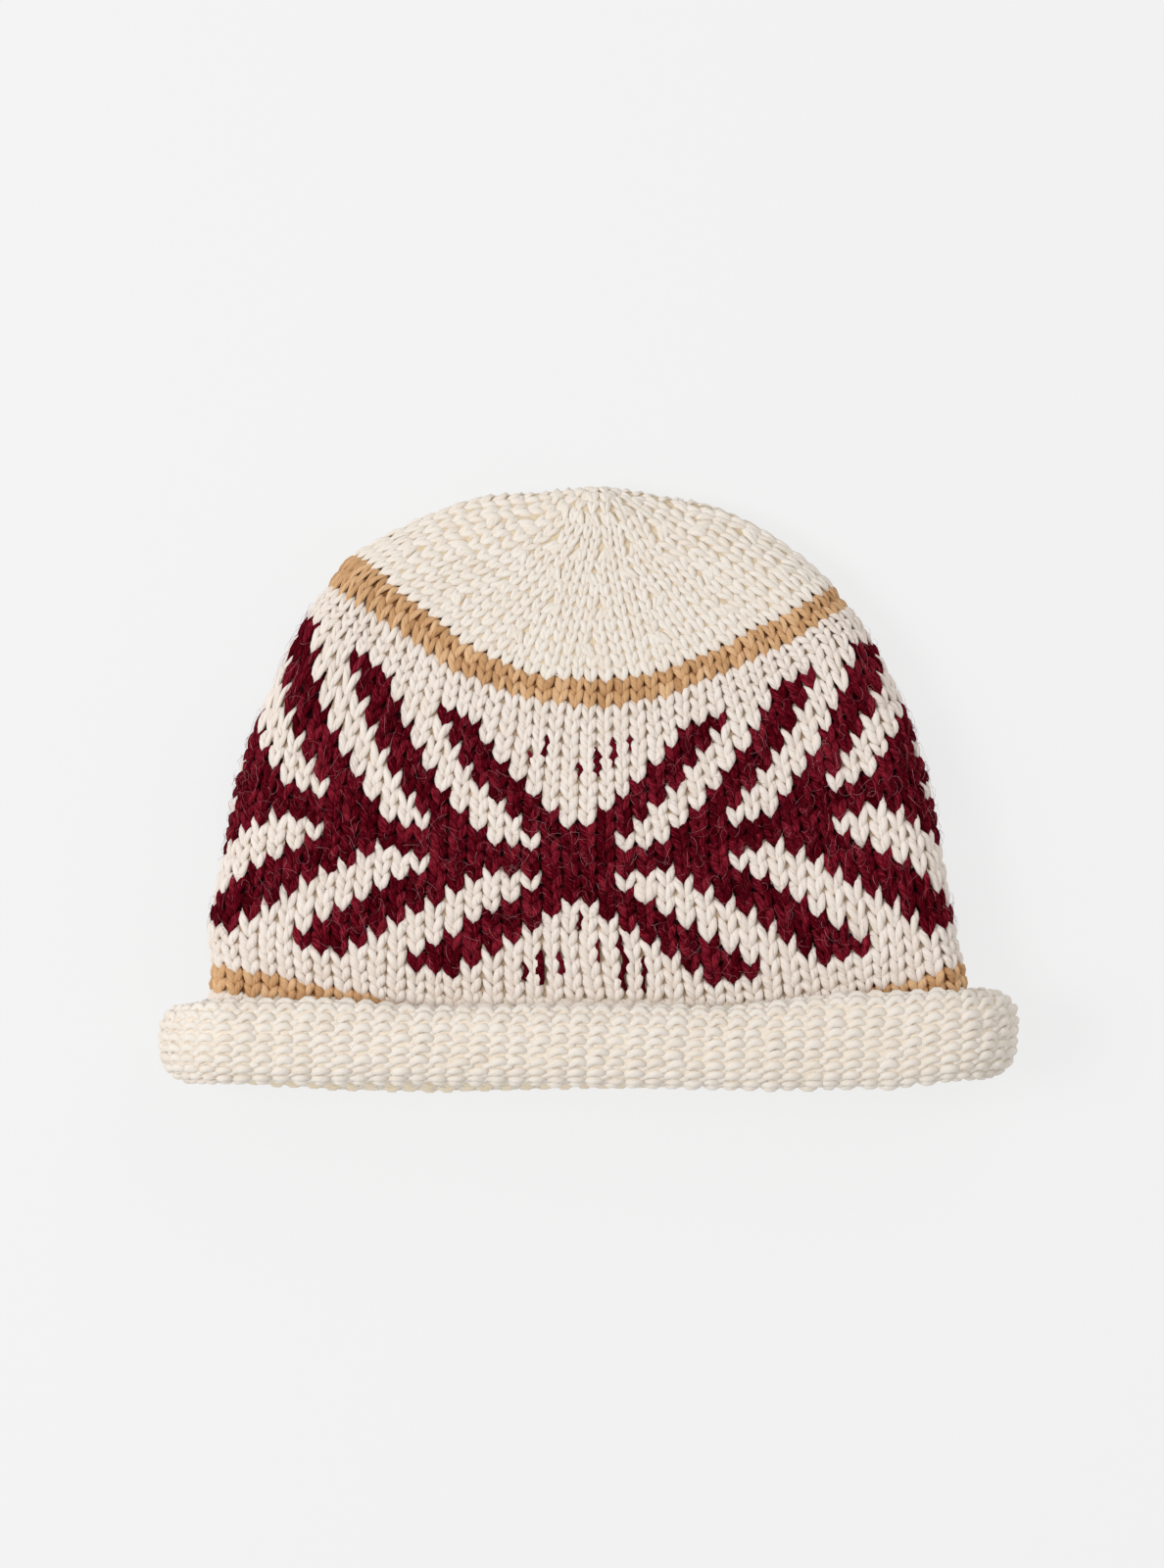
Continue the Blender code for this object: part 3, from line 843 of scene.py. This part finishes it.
def knit_piece(name, stitch_rows, yarn, slot, looks, nodes=(), fullness=FULLNESS):
    """A front and a back object of plain stitches; the CAD nodes, if any are named, are hidden."""
    front, back = split_layers(stitch_rows)
    made = []
    if len(front):
        made.append(yarn_object(name + "_front", knit_legs(front, FRONT_SIDES, fullness), looks[yarn], slot))
    if len(back):
        parts = knit_legs(back, BACK_SIDES, fullness, keep=BACK_KEEP)
        made.append(yarn_object(name + "_back", parts, looks[yarn], slot))
    for obj in made:
        if nodes:
            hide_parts(*nodes)
    return made


def ring_of(at, wales, along, step, height):
    """Points once round a surface at a place along it, moved out by a height."""
    along = np.full(len(wales), float(along))
    return at(wales, along) + outward(at, wales, along, STITCH_STEP, step) * height


def backing(name, at, wales, alongs, step, heights, materials, slot, end=None, choose=None):
    """A thin closed wall inside the fabric, which fills what shows between the stitches. Choose names the
    stitches that take the second material."""
    outer, inner = ([ring_of(at, wales, along, step, height) for along in alongs] for height in heights)
    if end is not None:
        for rings, height in ((outer, heights[0]), (inner, heights[1])):
            rings.append(np.repeat([end + np.array([0, height, 0])], len(wales), 0))
    rings = outer + inner[::-1]
    index = np.arange(len(rings) * len(wales)).reshape(len(rings), len(wales))
    after = np.roll(index, -1, axis=1)
    quads = np.stack([index, after, np.roll(after, -1, axis=0), np.roll(index, -1, axis=0)], -1)
    obj = joined(name, np.concatenate(rings), [quads.reshape(-1, 4)], {})
    if choose is not None:
        second = np.zeros(quads.shape[:2], np.int32)
        second[: len(alongs)] = choose(wales[None, :], alongs[:, None])
        obj.data.polygons.foreach_set("material_index", second.ravel())
    weld(obj)
    return dress(obj, slot, *materials)


def weld(obj):
    """Joins points that coincide and turns the faces out."""
    built = bmesh.new()
    built.from_mesh(obj.data)
    bmesh.ops.remove_doubles(built, verts=built.verts, dist=1e-6)
    bmesh.ops.recalc_face_normals(built, faces=built.faces)
    built.to_mesh(obj.data)
    built.free()


def build_body(looks):
    """Every plain stitch, from the rows that the roll hides to the tip."""
    lower = stitches_between(LOWER_STRIPE_ROW, BAND_ROW)
    hem = stitches_between(FIRST_ROW, LOWER_STRIPE_ROW)
    band = stitches_between(BAND_ROW, UPPER_STRIPE_ROW)
    upper = stitches_between(UPPER_STRIPE_ROW, CROWN_ROW)
    crown = stitches_between(CROWN_ROW, DRAWN_ROW + 1)
    red = is_red(band[:, 0], band[:, 1])
    knit_piece("brim_hem", hem, "cream", "cream_yarn", looks, ("rolled_brim",))
    knit_piece("lower_stripe_knit", lower, "tan", "tan_yarn", looks, ("lower_stripe",))
    knit_piece("band_ground", band[~red], "cream", "cream_yarn", looks, ("pattern_band",))
    knit_piece("band_bars", band[red], "red", "colourwork_yarn", looks, ("pattern_band",))
    knit_piece("upper_stripe_knit", upper, "tan", "tan_yarn", looks, ("upper_stripe",))
    knit_piece("crown_knit", crown, "crown", "cream_yarn", looks, ("crown",), fullness=CROWN_FULLNESS)
    build_floats(looks)
    build_fibres(looks, band)


def build_backing(looks):
    wales = np.arange(STITCHES)
    bands = (
        ("backing_hem", FIRST_ROW, LOWER_STRIPE_ROW, "cream_deep_shade", "cream_yarn"),
        ("backing_lower_stripe", LOWER_STRIPE_ROW, BAND_ROW, "tan_deep_shade", "tan_yarn"),
        ("backing_upper_stripe", UPPER_STRIPE_ROW, CROWN_ROW, "tan_deep_shade", "tan_yarn"),
    )
    for name, first, end, yarn, slot in bands:
        rows = np.arange(first, end + 0.5, 0.5) + STRIPE_SHIFT
        backing(name, stitch_at, wales, rows, ROW_STEP, BACKING_FACES, [looks[yarn]], slot)
    rows = np.arange(BAND_ROW, UPPER_STRIPE_ROW + 0.5, 1.0) + BAND_SHIFT
    backing(
        "backing_band", stitch_at, wales, rows, ROW_STEP, BACKING_FACES,
        [looks["cream_deep_shade"], looks["red_deep_shade"]], "colourwork_yarn",
        choose=lambda stitch, row: is_red(stitch, np.floor(row).astype(int)))
    tip = body_at(np.array([0.0]), np.array([TIP_ROW]))[0]
    rows = np.concatenate([np.arange(CROWN_ROW + BAND_SHIFT, DRAWN_ROW, 1.0), [DRAWN_ROW + STRIPE_SHIFT]])
    backing(
        "backing_crown", stitch_at, wales, rows, ROW_STEP, CROWN_BACKING_FACES, [looks["crown_deep_shade"]],
        "cream_yarn", end=tip)


def build_floats(looks):
    """The floats that show between the stitches at the front."""
    place, middle, rows, width = np.array(SHOWING_FLOATS).T
    along = np.linspace(-FLOAT_REACH, FLOAT_REACH, FLOAT_POINTS)
    row = middle[:, None] + along[None, :] * rows[:, None]
    wale = np.repeat(place[:, None], len(along), 1) + rng.normal(0, FLOAT_LOOSENESS, row.shape)
    normal = outward(body_at, *strayed(wale, row), STITCH_STEP, STITCH_STEP)
    centres = stitch_at(wale, row) + normal * (HALF_WALL - FLOAT_DEPTH)
    radius = FLOAT_RADIUS * width[:, None] * np.cos(along * FLOAT_TAPER)[None, :] ** 0.5
    tube = tubes(centres, normal, radius, FRONT_SIDES, squash=FLOAT_SQUASH, turns=FLOAT_PLY_TURNS)
    yarn_object("showing_floats", [(*tube, len(place))], looks["red"], "colourwork_yarn")


def build_fibres(looks, band):
    """Loose fibres that stand off the dark red yarn."""
    red = band[is_red(band[:, 0], band[:, 1])]
    half = np.where(red[:, 0] < 2 * QUARTER, red[:, 0], STITCHES - 1 - red[:, 0])
    chance = np.where(half < QUARTER + 1, 1.0, BACK_FIBRES)
    start = red[rng.choice(len(red), FIBRES, p=chance / chance.sum())]
    steps = np.linspace(0, 1, FIBRE_POINTS)
    length = rng.uniform(*FIBRE_LENGTHS, FIBRES)[:, None]
    heading = rng.uniform(0, 2 * math.pi, FIBRES)[:, None]
    heading = heading + rng.normal(0, FIBRE_BEND, FIBRES)[:, None] * steps
    move = length / (len(steps) - 1)
    wale = start[:, :1] + rng.uniform(0, 1, (FIBRES, 1)) + np.cumsum(np.cos(heading) * move, 1) * 0.7
    row = start[:, 1:] + rng.uniform(0.3, 1.4, (FIBRES, 1)) + np.cumsum(np.sin(heading) * move, 1)
    lift = np.sin(steps * math.pi)[None, :] * rng.uniform(*FIBRE_HEIGHTS, (FIBRES, 1))
    normal = outward(body_at, *strayed(wale, row), STITCH_STEP, STITCH_STEP)
    centres = stitch_at(wale, row) + normal * (HALF_WALL + 0.0001 + lift)[..., None]
    radius = np.full(row.shape, FIBRE_RADIUS) * (1.2 - steps)[None, :]
    tube = tubes(centres, normal, radius, FIBRE_SIDES, ply=0.0)
    yarn_object("loose_fibres", [(*tube, FIBRES)], looks["red_fibre"], "colourwork_yarn")


def build_brim(looks):
    """The roll: the purl side of the fabric from the hollow, round the mouth and over the roll."""
    rows = np.arange(ROLL_FIRST_ROW, ROLL_END_ROW)
    columns, alongs = np.meshgrid(np.arange(ROLL_STITCHES) + 0.5, rows * ROLL_ROW_HEIGHT)
    columns, alongs = columns.ravel(), alongs.ravel()
    drift = ROLL_DRIFT * alongs / ROLL_ROW_HEIGHT
    behind = np.abs(np.mod(columns, ROLL_STITCHES) - ROLL_STITCHES / 2) < ROLL_STITCHES / 4
    # The back layer's bumps in the turn at the mouth sink a little and take the yellower cream painted as the
    # shade under the front's roll.
    edge = behind & (alongs > 0) & (alongs < math.pi * ROLL_BULGE / 2)
    pieces = (("brim_purl_bumps", ~edge, "roll", 0.0), ("brim_back_edge_shaded", edge, "edge", EDGE_SINK))
    for name, chosen, yarn, sink in pieces:
        bumps = purl_bumps(
            roll_columns_at, (columns + drift)[chosen], alongs[chosen], ROLL_ROW_HEIGHT, BEAN, BEAN_YARN,
            BUMP_SIDES, sink=sink, slant=BUMP_SLANT, loosen=BUMP_LOOSENESS)
        obj = yarn_object(name, [bumps], looks[yarn], "cream_yarn")
        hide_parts("rolled_brim")
    links = purl_bumps(
        roll_columns_at, columns + 0.5 + drift, alongs - ROLL_ROW_HEIGHT / 2, ROLL_ROW_HEIGHT, LINK,
        BEAN_YARN, LINK_SIDES, sink=LINK_SINK)
    obj = yarn_object("brim_purl_links", [links], looks["roll"], "cream_yarn")
    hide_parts("rolled_brim")
    lengths = np.arange(ROLL_FIRST_ROW - 0.5, ROLL_END_ROW + 0.5) * ROLL_ROW_HEIGHT
    columns = np.arange(0, ROLL_STITCHES, 0.5)
    backing(
        "backing_roll", roll_columns_at, columns, lengths, ROLL_STEP, ROLL_BACKING_FACES,
        [looks["roll_deep"]], "cream_yarn")


def build_stage():
    bpy.ops.mesh.primitive_plane_add(size=FLOOR_SIZE)
    floor = bpy.context.object
    floor.name = "floor"
    floor.data.materials.append(floor_material())


def area_light(name, place, size, watts):
    """A soft round light, turned toward the cap."""
    light = bpy.data.lights.new(name, "AREA")
    light.shape = "DISK"
    light.size = size
    light.energy = watts
    obj = bpy.data.objects.new(name, light)
    obj.location = place
    obj.rotation_euler = (Vector() - Vector(place)).to_track_quat("-Z", "Y").to_euler()
    bpy.context.scene.collection.objects.link(obj)


def build_light():
    world = bpy.data.worlds.new("studio")
    bpy.context.scene.world = world
    world.use_nodes = True
    world.node_tree.nodes["Background"].inputs["Color"].default_value = (1.0, 1.0, 1.0, 1.0)
    world.node_tree.nodes["Background"].inputs["Strength"].default_value = WORLD_LIGHT
    for name, place, size, watts in LIGHTS:
        area_light(name, place, size, watts)


def build_camera():
    data = bpy.data.cameras.new("camera")
    data.sensor_fit = "HORIZONTAL"
    data.sensor_width = SENSOR
    data.lens = SENSOR * (CAMERA_HEIGHT - SHARP_HEIGHT) / (PHOTO_WIDTH * PHOTO_SCALE)
    data.clip_end = FAR_CLIP
    camera = bpy.data.objects.new("camera", data)
    camera.location = (PHOTO_CENTRE[0], PHOTO_CENTRE[1], CAMERA_HEIGHT)
    bpy.context.scene.collection.objects.link(camera)
    bpy.context.scene.camera = camera
    bpy.context.scene.view_settings.view_transform = "Standard"


build_camera()
build_light()
build_stage()
looks = build_materials()
build_backing(looks)
build_body(looks)
build_brim(looks)
